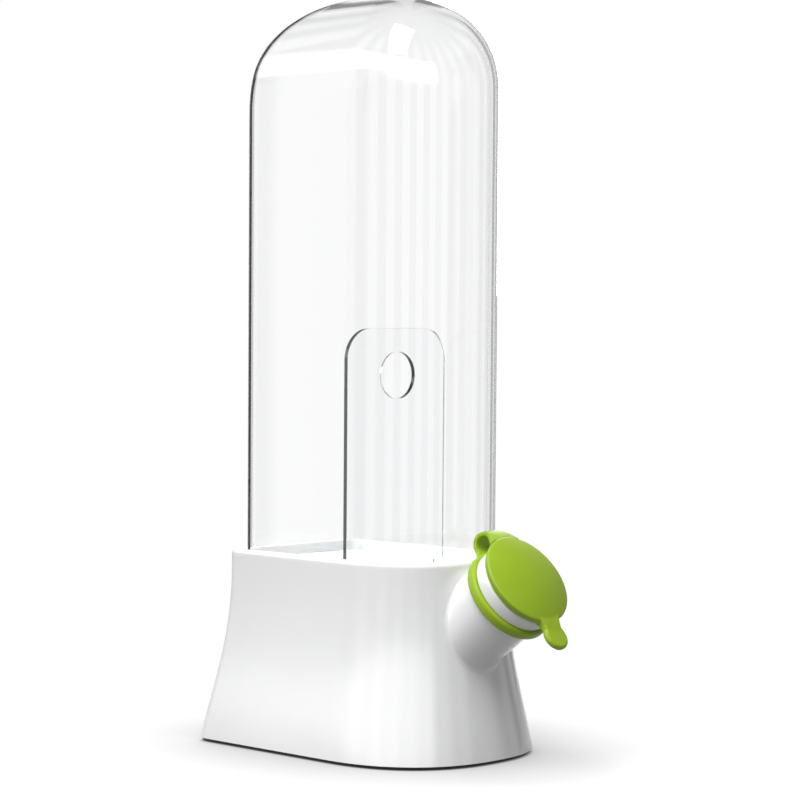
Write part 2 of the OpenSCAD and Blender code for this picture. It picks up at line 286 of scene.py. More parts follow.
def moulded(name, sizes, colours, roughness, depth, strength, **values):
    """A solid moulded material: two colours and two roughnesses over its patches, and a bump."""
    material, tree, shader, _ = start_material(name, **values)
    skin = skin_node(tree, *sizes)
    one, other = ((*colour, 1) for colour in colours)
    vary_colour(tree, shader, skin.outputs["Patches"], one, other)
    vary(tree, shader, "Roughness", skin.outputs["Patches"], *roughness)
    bump(tree, shader, skin.outputs["Height"], depth, strength)
    return material


# %% [markdown]
# ## Glossy white plastic
# The base is moulded in a hard, glossy white. Its gloss is never quite flat: the wall sinks
# by a few hundredths of a millimetre between the ribs of the tool, which makes reflections
# swim a little, and finger marks dull it in soft patches. Both come from the shared skin.

# %% White plastic
WHITE = moulded("glossy white plastic", (1400.0, 55.0, 0.9, 38.0),
                ((0.875, 0.877, 0.885), (0.885, 0.887, 0.893)), (0.12, 0.2), 0.06 * MM, 0.35,
                Roughness=0.16, IOR=1.5, Specular_IOR_Level=0.5)

# %% [markdown]
# ## Clear plastic
# A clear dome is seen mostly by its edges, where light travels a long way inside the wall.
# So the wall is a true one, with an inner and an outer face, and the plastic takes a little
# light away for each millimetre that a ray travels in it. Straight through it stays almost
# white, and along the edges it turns grey. Lamps shine through it, because a render without
# caustics would otherwise leave a solid shadow behind it.


# %% Clear plastic
SHADOW_TINT = (0.93, 0.94, 0.94, 1)
WALL_TINT = (0.62, 0.65, 0.68, 1)


def clear_plastic(name, tint, density):
    """Polished clear plastic that greys where the way through it is long."""
    material, tree, shader, end = start_material(
        name, Base_Color=tint, IOR=1.5, Transmission_Weight=1.0, Metallic=0.0)
    skin = skin_node(tree, 1200.0, 30.0, 1.0, 45.0)
    vary(tree, shader, "Roughness", skin.outputs["Patches"], 0.0, 0.012)
    bump(tree, shader, skin.outputs["Height"], 0.02 * MM, 0.3)
    passing = add(tree, "ShaderNodeBsdfTransparent", SHADOW_TINT)
    path = tree.nodes.new("ShaderNodeLightPath")
    mix = add(tree, "ShaderNodeMixShader", path.outputs["Is Shadow Ray"], shader.outputs[0],
              out(passing))
    tree.links.new(out(mix), end.inputs["Surface"])
    absorb = tree.nodes.new("ShaderNodeVolumeAbsorption")
    absorb.inputs["Color"].default_value = WALL_TINT
    absorb.inputs["Density"].default_value = density
    tree.links.new(absorb.outputs[0], end.inputs["Volume"])
    return material


CLEAR = clear_plastic("clear polished plastic", (1.0, 1.0, 1.0, 1), 20.0)
CLEAR_INSIDE = clear_plastic("clear divider plastic", (0.99, 1.0, 1.0, 1), 35.0)

# %% [markdown]
# ## Silicone and rubber
# Silicone is satin: it has a broad soft sheen, a very fine grain, and a little depth, since
# light gets just under its surface. A small subsurface share softens the shaded side, and
# the grain is far finer than on the plastic. The stopper's is lime green and the seals' is
# milky. The pad's rubber is matt and black, with a pebbled grain and a trace of dust.

# %% Silicone and rubber
LIGHT_DEPTH = 1.5 * MM
LIME = moulded("lime silicone", (2600.0, 90.0, 0.3, 60.0),
               ((0.29, 0.445, 0.012), (0.315, 0.47, 0.015)), (0.42, 0.55), 0.05 * MM, 0.5,
               Roughness=0.5, IOR=1.42, Subsurface_Weight=0.12,
               Subsurface_Radius=(0.6, 1.0, 0.15), Subsurface_Scale=LIGHT_DEPTH)
BLACK = moulded("black rubber", (1500.0, 120.0, 0.25, 80.0),
                ((0.012, 0.012, 0.013), (0.022, 0.022, 0.023)), (0.6, 0.78), 0.12 * MM, 0.6,
                Roughness=0.7, IOR=1.5)
PALE = moulded("pale silicone", (2200.0, 90.0, 0.3, 60.0),
               ((0.70, 0.71, 0.69), (0.76, 0.77, 0.75)), (0.38, 0.5), 0.04 * MM, 0.5,
               Roughness=0.45, IOR=1.42, Subsurface_Weight=0.3,
               Subsurface_Radius=(1.0, 1.0, 1.0), Subsurface_Scale=LIGHT_DEPTH)

# %% [markdown]
# ## Making meshes
# Most pieces here are lofts: a list of rings, each with as many points, joined with faces.
# A turned piece is the same thing with its rings round an axis. The faces are made to point
# outwards at the end, and doubled points are merged, so that every piece is one closed skin.


# %% Helpers for meshes
def finish_mesh(name, work, material, merge=1e-6):
    """A smooth new object: doubled points are merged, and all faces turned outwards."""
    bmesh.ops.remove_doubles(work, verts=work.verts, dist=merge)
    bmesh.ops.recalc_face_normals(work, faces=work.faces)
    mesh = bpy.data.meshes.new(name)
    work.to_mesh(mesh)
    work.free()
    mesh.materials.append(material)
    mesh.shade_smooth()
    return in_scene(name, mesh)


def skin_over(rings, closed):
    """A bmesh over rings of points. A closed skin joins its last ring to its first."""
    work = bmesh.new()
    loops = [[work.verts.new(p) for p in ring] for ring in rings]
    pairs = list(zip(loops, loops[1:])) + ([(loops[-1], loops[0])] if closed else [])
    for low, high in pairs:
        count = len(low)
        for i in range(count):
            j = (i + 1) % count
            work.faces.new((low[i], low[j], high[j], high[i]))
    if not closed:
        work.faces.new(loops[0])
        work.faces.new(loops[-1])
    return work


def rounded(corners, steps=5):
    """A closed outline through corners (x, y, radius), each with its corner as an arc."""
    points = []
    for i, (x, y, radius) in enumerate(corners):
        here = np.array((x, y), float)
        if radius == 0:
            points.append(here)
            continue
        before = np.array(corners[i - 1][:2], float) - here
        after = np.array(corners[(i + 1) % len(corners)][:2], float) - here
        before, after = before / np.linalg.norm(before), after / np.linalg.norm(after)
        half = math.acos(max(-1, min(1, before @ after))) / 2
        inwards = (before + after) / np.linalg.norm(before + after)
        centre = here + inwards * radius / math.sin(half)
        start = here + before * radius / math.tan(half) - centre
        end = here + after * radius / math.tan(half) - centre
        sweep = math.pi - 2 * half
        for k in range(steps + 1):
            t = k / steps
            points.append(centre + (math.sin((1 - t) * sweep) * start + math.sin(t * sweep) * end)
                          / math.sin(sweep))
    return np.array(points)


def on_spout(along, radius, angle):
    """A point on the spout: along its axis, out from it, and round it from the top."""
    return (SPOUT_MIDDLE + along * ALONG
            + radius * (math.cos(angle) * UPWARDS + math.sin(angle) * SIDEWAYS))


def turned(profile, closed, steps=128):
    """A bmesh turned about the spout's axis from a profile of (along, radius)."""
    angles = [2 * math.pi * k / steps for k in range(steps)]
    rings = [[on_spout(along, radius, angle) for angle in angles] for along, radius in profile]
    return skin_over(rings, closed)


# %% Outlines of the base and the dome
def outline(half, back, front, nose, corner, corner_steps=8, front_steps=96):
    """A closed outline seen from above, anticlockwise: flat back, straight sides, round front."""
    r = min(corner, 0.6 * half)
    bend = 2 / FRONT_POWER
    points = []
    for k in range(corner_steps + 1):
        a = math.pi / 2 * k / corner_steps
        points.append((half - r + r * math.cos(a), back - r + r * math.sin(a)))
    for k in range(corner_steps + 1):
        a = math.pi / 2 * k / corner_steps
        points.append((r - half - r * math.sin(a), back - r + r * math.cos(a)))
    for k in range(front_steps + 1):
        a = math.pi * k / front_steps
        c, s = math.cos(a), math.sin(a)
        points.append((-half * math.copysign(abs(c) ** bend, c),
                       nose - (nose - front) * abs(s) ** bend))
    return np.array(points)


FLARE_POWER = 2.8
FLARE_SWELL = 1.6


def flare(z):
    """How far the base has flared at a height: 0 at the rim and 1 at the foot."""
    t = max(0.0, 1 - z / RIM_Z)
    return t ** FLARE_POWER * (1 + FLARE_SWELL * (1 - t))


def base_reach(z):
    """The base at a height: half its width, its back, its front, and where its front rounds."""
    f = flare(z)
    back = RIM_BACK + (FOOT_BACK - RIM_BACK) * f
    front = RIM_FRONT - (FOOT_BACK + RIM_FRONT) * f
    return RIM_HALF + (FOOT_HALF - RIM_HALF) * f, back, front, front + FRONT_SHARE * (back - front)


def base_outline(z, inset):
    """The base's outline at a height, set in by a wall."""
    half, back, front, nose = base_reach(z)
    return outline(half - inset, back - inset, front + inset, nose,
                   max(1 * MM, BACK_CORNER - inset))


def dome_outline(grow):
    """The dome's outline, grown outwards."""
    return outline(DOME_HALF + grow, DOME_BACK + grow, DOME_FRONT - grow, DOME_NOSE,
                   max(1 * MM, BACK_CORNER - 1 * MM + grow))


def at_height(points, z):
    """An outline lifted to a height."""
    return np.column_stack((points, np.full(len(points), z)))


# %% [markdown]
# ## The flared shell
# The base's outer wall is one sweep from a wide foot to a narrower rim, and most of the
# width comes in the lowest third. The shell is a closed loft: up the outside, over a
# rolled rim, down the mouth, in along the ledge that carries the dome, and down the inside.
# A hole for the spout is then cut through its front with a boolean.

# %% Flared shell
RIM_ROUND = 1.5 * MM
MOUTH_GAP = 0.8 * MM
MOUTH_ROUND = 0.6 * MM
LEDGE_WIDTH = 7 * MM
LEDGE_Z = 69.4 * MM
LEDGE_THICKNESS = 2.5 * MM
WALL_LEVELS = 56
ROUND_LEVELS = 7
HOLE_DEPTH, HOLE_PLAY = 50 * MM, 0.15 * MM
SHARP_ANGLE = math.radians(40)


def shell_rings():
    """The rings of the shell's closed section, from the foot outside to the foot inside."""
    rings = []
    for k in range(WALL_LEVELS + 1):
        z = PAD_Z + (RIM_Z - RIM_ROUND - PAD_Z) * k / WALL_LEVELS
        rings.append(at_height(base_outline(z, 0), z))
    for k in range(1, ROUND_LEVELS + 1):
        a = math.pi / 2 * k / ROUND_LEVELS
        rings.append(at_height(base_outline(RIM_Z, RIM_ROUND * (1 - math.cos(a))),
                               RIM_Z - RIM_ROUND * (1 - math.sin(a))))
    for k in range(ROUND_LEVELS + 1):
        a = math.pi / 2 * k / ROUND_LEVELS
        rings.append(at_height(dome_outline(MOUTH_GAP + MOUTH_ROUND * (1 - math.sin(a))),
                               RIM_Z - MOUTH_ROUND * (1 - math.cos(a))))
    for grow, z in ((MOUTH_GAP, LEDGE_Z), (MOUTH_GAP - LEDGE_WIDTH, LEDGE_Z),
                    (MOUTH_GAP - LEDGE_WIDTH, LEDGE_Z - LEDGE_THICKNESS)):
        rings.append(at_height(dome_outline(grow), z))
    inside_top = LEDGE_Z - LEDGE_THICKNESS - RIM_ROUND
    for k in range(WALL_LEVELS // 2 + 1):
        z = inside_top + (PAD_Z - inside_top) * k / (WALL_LEVELS // 2)
        rings.append(at_height(base_outline(z, SHELL_WALL), z))
    return rings


def cut_with(piece, cutter):
    """Cuts one mesh out of another with a boolean, and removes the cutter."""
    modifier = piece.modifiers.new("cut", "BOOLEAN")
    modifier.operation = "DIFFERENCE"
    modifier.solver = "EXACT"
    modifier.object = cutter
    settle(piece)
    bpy.data.objects.remove(cutter)


def settle(piece):
    """Applies a piece's modifiers: its evaluated mesh takes the place of its mesh."""
    bpy.context.view_layer.update()
    seen = piece.evaluated_get(bpy.context.evaluated_depsgraph_get())
    mesh = bpy.data.meshes.new_from_object(seen)
    piece.modifiers.clear()
    piece.data = mesh
    return piece


def flared_shell():
    """The glossy shell with its rolled rim, its ledge and the hole for the spout."""
    shell = finish_mesh("flared_shell", skin_over(shell_rings(), True), WHITE)
    radius = SPOUT_RADIUS + HOLE_PLAY
    hole = turned([(-HOLE_DEPTH, 0), (-HOLE_DEPTH, radius), (0, radius), (0, 0)], False)
    cut_with(shell, finish_mesh("spout_hole", hole, WHITE))
    shell.data.shade_smooth()
    shell.data.set_sharp_from_angle(angle=SHARP_ANGLE)
    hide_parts("base_shell")
    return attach(shell, "base")


shell = flared_shell()
print("shell faces:", len(shell.data.polygons))

# %% [markdown]
# ## The filler spout
# On the real base the tube runs into the shell with a small fillet. The tube is a loft
# round the spout's axis whose lower rings follow the shell: for each angle, a search along
# the axis finds where a line at some radius meets the shell. A ring of points found at a
# slightly larger radius gives the outer edge of the fillet, and a curve joins the two.

# %% Where the spout meets the shell
SPOUT_STEPS = 128
FILLET = 1.3 * MM
FILLET_STEPS = 7
INNER_END_Y = RIM_FRONT + 6 * MM
SEARCH_REACH, SEARCH_ROUNDS = (-40 * MM, 10 * MM), 40


def outside_shell(point):
    """Positive where a point lies outside the shell's front, and negative inside."""
    x, y, z = point
    half, _, front, nose = base_reach(z)
    forwards = max(0.0, (nose - y) / (nose - front))
    return (abs(x) / half) ** FRONT_POWER + forwards ** FRONT_POWER - 1


def meets_shell(radius, angle):
    """How far along the axis a line at that radius and angle comes out of the shell."""
    low, high = SEARCH_REACH
    for _ in range(SEARCH_ROUNDS):
        middle = (low + high) / 2
        if outside_shell(on_spout(middle, radius, angle)) > 0:
            high = middle
        else:
            low = middle
    return (low + high) / 2


# %% Filler spout
LIP_EDGE = 1.1 * MM


def spout_profile(angle):
    """The tube's closed section at one angle: up its outside, over the lip and down its bore."""
    def inner_end(radius):
        return (INNER_END_Y - SPOUT_MIDDLE[1] - radius * math.cos(angle) * UPWARDS[1]) / ALONG[1]

    root = meets_shell(SPOUT_RADIUS, angle)
    skirt = meets_shell(SPOUT_RADIUS + FILLET, angle)
    points = [(inner_end(SPOUT_RADIUS), SPOUT_RADIUS), (root - 1 * MM, SPOUT_RADIUS),
              (skirt - 0.3 * MM, SPOUT_RADIUS + FILLET)]
    for k in range(FILLET_STEPS + 1):
        t = k / FILLET_STEPS
        edge = np.array((skirt, SPOUT_RADIUS + FILLET))
        middle = np.array((root, SPOUT_RADIUS))
        top = np.array((root + 1.2 * FILLET, SPOUT_RADIUS))
        points.append(tuple((1 - t) ** 2 * edge + 2 * t * (1 - t) * middle + t ** 2 * top))
    lip = rounded([(LIP_START, SPOUT_RADIUS, 0.4 * MM), (LIP_START, LIP_RADIUS, 0.5 * MM),
                   (LIP_END, LIP_RADIUS, LIP_EDGE), (LIP_END, BORE_RADIUS, 0.8 * MM),
                   (inner_end(BORE_RADIUS), BORE_RADIUS, 0)])
    return points + [tuple(p) for p in lip]


def filler_spout():
    """The white tube with its lip and the fillet at its root."""
    angles = [2 * math.pi * k / SPOUT_STEPS for k in range(SPOUT_STEPS)]
    strips = [[on_spout(along, radius, angle) for along, radius in spout_profile(angle)]
              for angle in angles]
    rings = [list(ring) for ring in zip(*strips)]
    spout = finish_mesh("spout_tube", skin_over(rings, True), WHITE)
    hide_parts("filler_spout")
    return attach(spout, "base")


spout = filler_spout()
print("spout faces:", len(spout.data.polygons))

# %% [markdown]
# ## The stopper
# Collar, strap, disc and tab are one silicone moulding. The collar grips the tube under the
# lip, and the strap stands up in a loop that works as a living hinge. The collar is turned.
# The disc is turned too, with its plug below, and the tab is a rounded slab: the two are
# fused by a voxel remesh, whose small cells are then smoothed, and that leaves the soft
# inner corners that silicone has.


# %% Silicone collar
def silicone_collar():
    """The ring that grips the tube under the lip."""
    edge, inner_edge, bore = 1.3 * MM, 0.3 * MM, SPOUT_RADIUS + 0.1 * MM
    profile = rounded([(-COLLAR_HALF, bore, inner_edge), (-COLLAR_HALF, COLLAR_RADIUS, edge),
                       (COLLAR_HALF, COLLAR_RADIUS, edge), (COLLAR_HALF, bore, inner_edge)])
    collar = finish_mesh("silicone_collar", turned(profile, True), LIME)
    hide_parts("stopper_collar")
    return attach(collar, "base")


silicone_collar()

# %% Disc, plug and tab
PLUG_RADIUS = 13.1 * MM
PLUG_END = 3.6 * MM
PLUG_WALL = 2 * MM
SKIRT_TAPER = 0.7 * MM
TAB_WIDTH = 10.5 * MM
TAB_REACH = 11 * MM
TAB_THICKNESS = 2.6 * MM
NECK_RISE = 0.35
VOXEL = 0.3 * MM
SMOOTH_ROUNDS = 6


def at_neck(v):
    """How near the tab's neck a place is: 1 at the disc's edge, 0 past the tab's middle."""
    return max(0.0, min(1.0, 1 - (-v - CAP_RADIUS) / (0.6 * TAB_REACH))) ** 2


def disc_profile():
    """The disc with its low crown and the hollow plug, from the axis below to the axis above."""
    edge = 0.8 * MM
    hollow = PLUG_RADIUS - PLUG_WALL
    points = [(CAP_UNDER + 1 * MM, 0), (CAP_UNDER + 1 * MM, hollow), (PLUG_END, hollow),
              (PLUG_END, PLUG_RADIUS - 0.6 * MM), (PLUG_END + 1.5 * MM, PLUG_RADIUS),
              (CAP_UNDER, PLUG_RADIUS), (CAP_UNDER, CAP_RADIUS - SKIRT_TAPER - 0.3 * MM),
              (CAP_UNDER + 0.3 * MM, CAP_RADIUS - SKIRT_TAPER)]
    for k in range(7):
        a = math.radians(78) * k / 6
        points.append((CAP_EDGE - edge + edge * math.sin(a),
                       CAP_RADIUS - edge + edge * math.cos(a)))
    rim_along, rim_radius = points[-1]
    for k in range(1, 13):
        share = 1 - k / 12
        points.append((rim_along + (CAP_TOP - rim_along) * (1 - share ** 2), rim_radius * share))
    return points


def tab_rings():
    """The tab's slab: a neck under the disc's edge and a round end, with rounded edges."""
    end = CAP_RADIUS + TAB_REACH - TAB_WIDTH / 2
    neck = 0.4 * TAB_WIDTH
    radius = TAB_WIDTH / 2
    meet = math.asin(neck / radius)
    arc = [(-(end + radius * math.cos(a)), -radius * math.sin(a))
           for a in np.linspace(-(math.pi - meet), math.pi - meet, 40)]
    start = CAP_RADIUS - 3 * MM
    waist = start + 3.6 * MM
    plan = np.array([(-start, -neck - 1.6 * MM), (-start, neck + 1.6 * MM),
                     (-waist, neck + 0.3 * MM)] + arc + [(-waist, -neck - 0.3 * MM)])
    middle = plan.mean(axis=0)
    rings = []
    for inset, height in ((0.9, 0.0), (0.25, 0.25), (0.0, 0.9), (0.0, TAB_THICKNESS / MM - 1.0),
                          (0.3, TAB_THICKNESS / MM - 0.3), (1.0, TAB_THICKNESS / MM)):
        away = plan - middle
        away = away / np.linalg.norm(away, axis=1)[:, None]
        shrunk = plan - away * inset * MM
        rings.append([
            SPOUT_MIDDLE + (CAP_UNDER + height * MM * (1 + NECK_RISE * at_neck(v))) * ALONG
            + v * UPWARDS + x * SIDEWAYS for v, x in shrunk])
    return rings


def fuse(name, works, material, voxel, rounds):
    """One skin over several closed meshes: a voxel remesh, then a few rounds of smoothing."""
    joined = bmesh.new()
    for work in works:
        mesh = bpy.data.meshes.new("part")
        bmesh.ops.recalc_face_normals(work, faces=work.faces)
        work.to_mesh(mesh)
        work.free()
        joined.from_mesh(mesh)
        bpy.data.meshes.remove(mesh)
    piece = finish_mesh(name, joined, material, merge=1e-7)
    remesh = piece.modifiers.new("remesh", "REMESH")
    remesh.mode = "VOXEL"
    remesh.voxel_size = voxel
    smooth = piece.modifiers.new("smooth", "SMOOTH")
    smooth.factor = 0.5
    smooth.iterations = rounds
    settle(piece)
    piece.data.shade_smooth()
    return piece


def silicone_disc():
    """The disc with its plug and its pull tab."""
    disc = fuse("silicone_disc", [turned(disc_profile(), False), skin_over(tab_rings(), False)],
                LIME, VOXEL, SMOOTH_ROUNDS)
    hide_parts("stopper_cap")
    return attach(disc, "stopper")


disc = silicone_disc()
print("disc faces:", len(disc.data.polygons))

# %% [markdown]
# ## The strap that bends
# The strap leaves the collar, stands up in a loop and runs down to the disc's edge. It is a
# rounded section swept along that path, a little wider where it joins its neighbours. When
# the stopper opens, the strap has to bend, so it rides on neither body.

# %% Silicone strap
STRAP_HALF_WIDTH = 4 * MM
STRAP_THICKNESS = 1.7 * MM
STRAP_ROUND = 0.5 * MM
COLLAR_FLARE, DISC_FLARE, DISC_SWELL = 1.1 * MM, 3.2 * MM, 0.5 * MM
LOOP_RADIUS = 4.15 * MM
LOOP_ALONG, LOOP_OUT = 3.0 * MM, 20.4 * MM
LOOP_START, LOOP_END = math.radians(205), math.radians(75)
LOOP_STEPS = 36
RUN_PULLS = np.array(((23.7, 6.9), (22.2, 8.3))) * MM
RUN_END = np.array((17.2, 9.5)) * MM
RUN_STEPS = 24


def strap_path():
    """The strap's middle line as (out, along), from inside the collar to inside the disc's edge."""
    loop = [(LOOP_OUT + LOOP_RADIUS * math.sin(a), LOOP_ALONG + LOOP_RADIUS * math.cos(a))
            for a in np.linspace(LOOP_START, LOOP_END, LOOP_STEPS)]
    first = (COLLAR_RADIUS - 1.2 * MM, loop[0][1] + 0.2 * MM)
    run = [(1 - t) ** 3 * np.array(loop[-1]) + 3 * t * (1 - t) ** 2 * RUN_PULLS[0]
           + 3 * t ** 2 * (1 - t) * RUN_PULLS[1] + t ** 3 * RUN_END
           for t in np.linspace(0, 1, RUN_STEPS + 1)[1:]]
    return np.array([first] + loop + run)


def silicone_strap():
    """The looped strap, attached to neither the base nor the stopper."""
    path = strap_path()
    slopes = np.gradient(path, axis=0)
    slopes /= np.linalg.norm(slopes, axis=1)[:, None]
    half_thick = STRAP_THICKNESS / 2
    rings = []
    for k, ((outwards, along), (d_out, d_along)) in enumerate(zip(path, slopes)):
        share = k / (len(path) - 1)
        at_collar, at_disc = max(0, 1 - share / 0.12) ** 2, max(0, (share - 0.7) / 0.3) ** 2
        wide = STRAP_HALF_WIDTH + COLLAR_FLARE * at_collar + DISC_FLARE * at_disc
        thick = half_thick + DISC_SWELL * at_disc
        section = rounded([(x * wide, t * thick, STRAP_ROUND)
                           for x, t in ((-1, -1), (1, -1), (1, 1), (-1, 1))], 4)
        rings.append([SPOUT_MIDDLE + (outwards - d_along * t) * UPWARDS
                      + (along + d_out * t) * ALONG + x * SIDEWAYS for x, t in section])
    strap = finish_mesh("silicone_strap", skin_over(rings, False), LIME)
    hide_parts("stopper_hinge")
    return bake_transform(strap)


silicone_strap()

# %% [markdown]
# ## The dome, by Geometry Nodes
# The dome's shape follows a rule, so it suits Geometry Nodes. Seen from above it is a flat
# back, straight sides and a round front. Up to the spring of the vault it goes straight up,
# and from there its width shrinks with the cosine of an angle while its height grows with
# the sine. The front and the back draw in near the top, each by its own radius.
# The tree starts from a flat grid. For each point, its index says which column and which
# level it belongs to. The column picks a point on an outline mesh, and the level gives the
# height. One group makes a skin, and the tree uses it twice, for the outer and the inner
# face, and closes the foot between them.

# %% The group that makes one skin of the dome
BACK_ROUND = 43 * MM
FRONT_ROUND = 37 * MM
NOSE_GAP = 0.3 * MM


def drawn_in(tree, radius, height):
    """How far a round has drawn in at a height above its start: 0 below it, radius at its top."""
    inside = maths(tree, "SUBTRACT", maths(tree, "MULTIPLY", radius, radius),
                   maths(tree, "MULTIPLY", height, height))
    return maths(tree, "SUBTRACT", radius, maths(tree, "SQRT", maths(tree, "MAXIMUM", inside, 0.0)))


def geometry_tree(name, shape, counts, sizes, result):
    """A geometry tree with one output: the tree, its named inputs, and a maths helper for it."""
    tree = bpy.data.node_groups.new(name, "GeometryNodeTree")
    for kind, names in (("Geometry", (shape,)), ("Int", counts), ("Float", sizes)):
        for each in names:
            tree.interface.new_socket(each, in_out="INPUT", socket_type="NodeSocket" + kind)
    tree.interface.new_socket(result, in_out="OUTPUT", socket_type="NodeSocketGeometry")
    return tree, tree.nodes.new("NodeGroupInput").outputs, partial(maths, tree)


def skin_group():
    """A geometry group: an outline and sizes in, one vaulted skin out."""
    group, given, m = geometry_tree(
        "vaulted skin", "Outline", ("First", "Count", "Levels"),
        ("Foot", "Spring", "Top", "Back", "Front", "Nose", "Back Round", "Front Round",
         "Wall Share"), "Skin")
    columns = m("ADD", given["Count"], 1.0)
    grid = add(group, "GeometryNodeMeshGrid", 1.0, 1.0, columns, given["Levels"])
    index = out(group.nodes.new("GeometryNodeInputIndex"))
    column = m("FLOOR", m("DIVIDE", m("ADD", index, 0.5), given["Levels"]))
    level = m("SUBTRACT", index, m("MULTIPLY", column, given["Levels"]))
    place = out(group.nodes.new("GeometryNodeInputPosition"))
    wanted = m("ADD", given["First"], m("FLOORED_MODULO", column, given["Count"]))
    picked = add(group, "GeometryNodeSampleIndex", given["Outline"], place, wanted,
                 data_type="FLOAT_VECTOR", domain="POINT")
    split = add(group, "ShaderNodeSeparateXYZ", out(picked))
    x, y = split.outputs["X"], split.outputs["Y"]

    rise = m("DIVIDE", level, m("SUBTRACT", given["Levels"], 1.0))
    wall = m("MINIMUM", m("DIVIDE", rise, given["Wall Share"]), 1.0)
    left_over = m("POWER", m("SUBTRACT", 1.0, wall), 3.0)
    wall_z = m("SUBTRACT", given["Spring"],
               m("MULTIPLY", m("SUBTRACT", given["Spring"], given["Foot"]), left_over))
    vault = m("MAXIMUM", m("DIVIDE", m("SUBTRACT", rise, given["Wall Share"]),
                           m("SUBTRACT", 1.0, given["Wall Share"])), 0.0)
    angle = m("MULTIPLY", vault, math.pi / 2)
    z = m("ADD", wall_z,
          m("MULTIPLY", m("SINE", angle), m("SUBTRACT", given["Top"], given["Spring"])))

    def drawn(name):
        """How far the named round has drawn in at this point's height."""
        over = m("MAXIMUM", m("SUBTRACT", z, m("SUBTRACT", given["Top"], given[name])), 0.0)
        return drawn_in(group, given[name], over)

    def shifted(end, now):
        """A point's way from the nose, once that end of the dome has drawn in."""
        share = m("DIVIDE", m("SUBTRACT", y, given["Nose"]),
                  m("SUBTRACT", given[end], given["Nose"]))
        return m("MULTIPLY", m("MAXIMUM", share, 0.0), m("SUBTRACT", now, given["Nose"]))

    back_now = m("SUBTRACT", given["Back"], drawn("Back Round"))
    front_now = m("MINIMUM", m("ADD", given["Front"], drawn("Front Round")),
                  m("SUBTRACT", given["Nose"], NOSE_GAP))
    new_y = m("ADD", given["Nose"],
              m("ADD", shifted("Back", back_now), shifted("Front", front_now)))
    new_x = m("MULTIPLY", x, m("COSINE", angle))
    moved = add(group, "ShaderNodeCombineXYZ", new_x, new_y, z)
    bent = add(group, "GeometryNodeSetPosition", out(grid), None, out(moved))
    end = group.nodes.new("NodeGroupOutput")
    group.links.new(out(bent), end.inputs["Skin"])
    return group


# %% The dome's tree
DOME_LEVELS = 64
WALL_SHARE = 0.28
VAULT_RISE = DOME_HALF
WELD = 0.005 * MM


def dome_tree(material):
    """The whole dome: outer skin, inner skin turned round, and the foot between them."""
    skin = skin_group()
    tree, given, m = geometry_tree(
        "vaulted dome", "Outlines", ("Count", "Levels"),
        ("Wall", "Foot", "Top", "Rise", "Back", "Front", "Nose", "Back Round", "Front Round",
         "Wall Share"), "Dome")
    spring = m("SUBTRACT", given["Top"], given["Rise"])

    def one_skin(first, inset):
        node = tree.nodes.new("GeometryNodeGroup")
        node.node_tree = skin
        plain = {name: given[name] for name in ("Count", "Levels", "Foot", "Nose", "Wall Share")}
        worked = {"Outline": given["Outlines"], "First": first, "Spring": spring,
                  "Top": m("SUBTRACT", given["Top"], inset),
                  "Back": m("SUBTRACT", given["Back"], inset),
                  "Front": m("ADD", given["Front"], inset),
                  "Back Round": m("SUBTRACT", given["Back Round"], inset),
                  "Front Round": m("SUBTRACT", given["Front Round"], inset)}
        for name, source in {**plain, **worked}.items():
            if isinstance(source, bpy.types.NodeSocket):
                tree.links.new(source, node.inputs[name])
            else:
                node.inputs[name].default_value = source
        return out(node)

    outer = one_skin(0, 0.0)
    inner = add(tree, "GeometryNodeFlipFaces", one_skin(given["Count"], given["Wall"]))
    strip = add(tree, "GeometryNodeMeshGrid", 1.0, 1.0, m("ADD", given["Count"], 1.0), 2)
    index = out(tree.nodes.new("GeometryNodeInputIndex"))
    column = m("FLOOR", m("DIVIDE", m("ADD", index, 0.5), 2.0))
    side = m("SUBTRACT", index, m("MULTIPLY", column, 2.0))
    wanted = m("ADD", m("FLOORED_MODULO", column, given["Count"]),
               m("MULTIPLY", side, given["Count"]))
    picked = add(tree, "GeometryNodeSampleIndex", given["Outlines"],
                 out(tree.nodes.new("GeometryNodeInputPosition")), wanted,
                 data_type="FLOAT_VECTOR", domain="POINT")
    split = add(tree, "ShaderNodeSeparateXYZ", out(picked))
    foot = add(tree, "ShaderNodeCombineXYZ", split.outputs["X"], split.outputs["Y"], given["Foot"])
    shaped = add(tree, "GeometryNodeSetPosition", out(strip), None, out(foot))
    closed = add(tree, "GeometryNodeFlipFaces", out(shaped))
    join = tree.nodes.new("GeometryNodeJoinGeometry")
    for source in (outer, out(inner), out(closed)):
        tree.links.new(source, join.inputs[0])
    merged = add(tree, "GeometryNodeMergeByDistance", out(join), None, WELD)
    dressed = add(tree, "GeometryNodeSetMaterial", out(merged), None, material)
    end = tree.nodes.new("NodeGroupOutput")
    tree.links.new(out(dressed), end.inputs["Dome"])
    return tree


def run_tree(piece, tree, **values):
    """Runs a geometry tree on a piece with named inputs, and keeps the result as its plain mesh."""
    modifier = piece.modifiers.new("tree", "NODES")
    modifier.node_group = tree
    for item in tree.interface.items_tree:
        if item.item_type == "SOCKET" and item.in_out == "INPUT" and item.name in values:
            modifier[item.identifier] = values[item.name]
    return settle(piece)


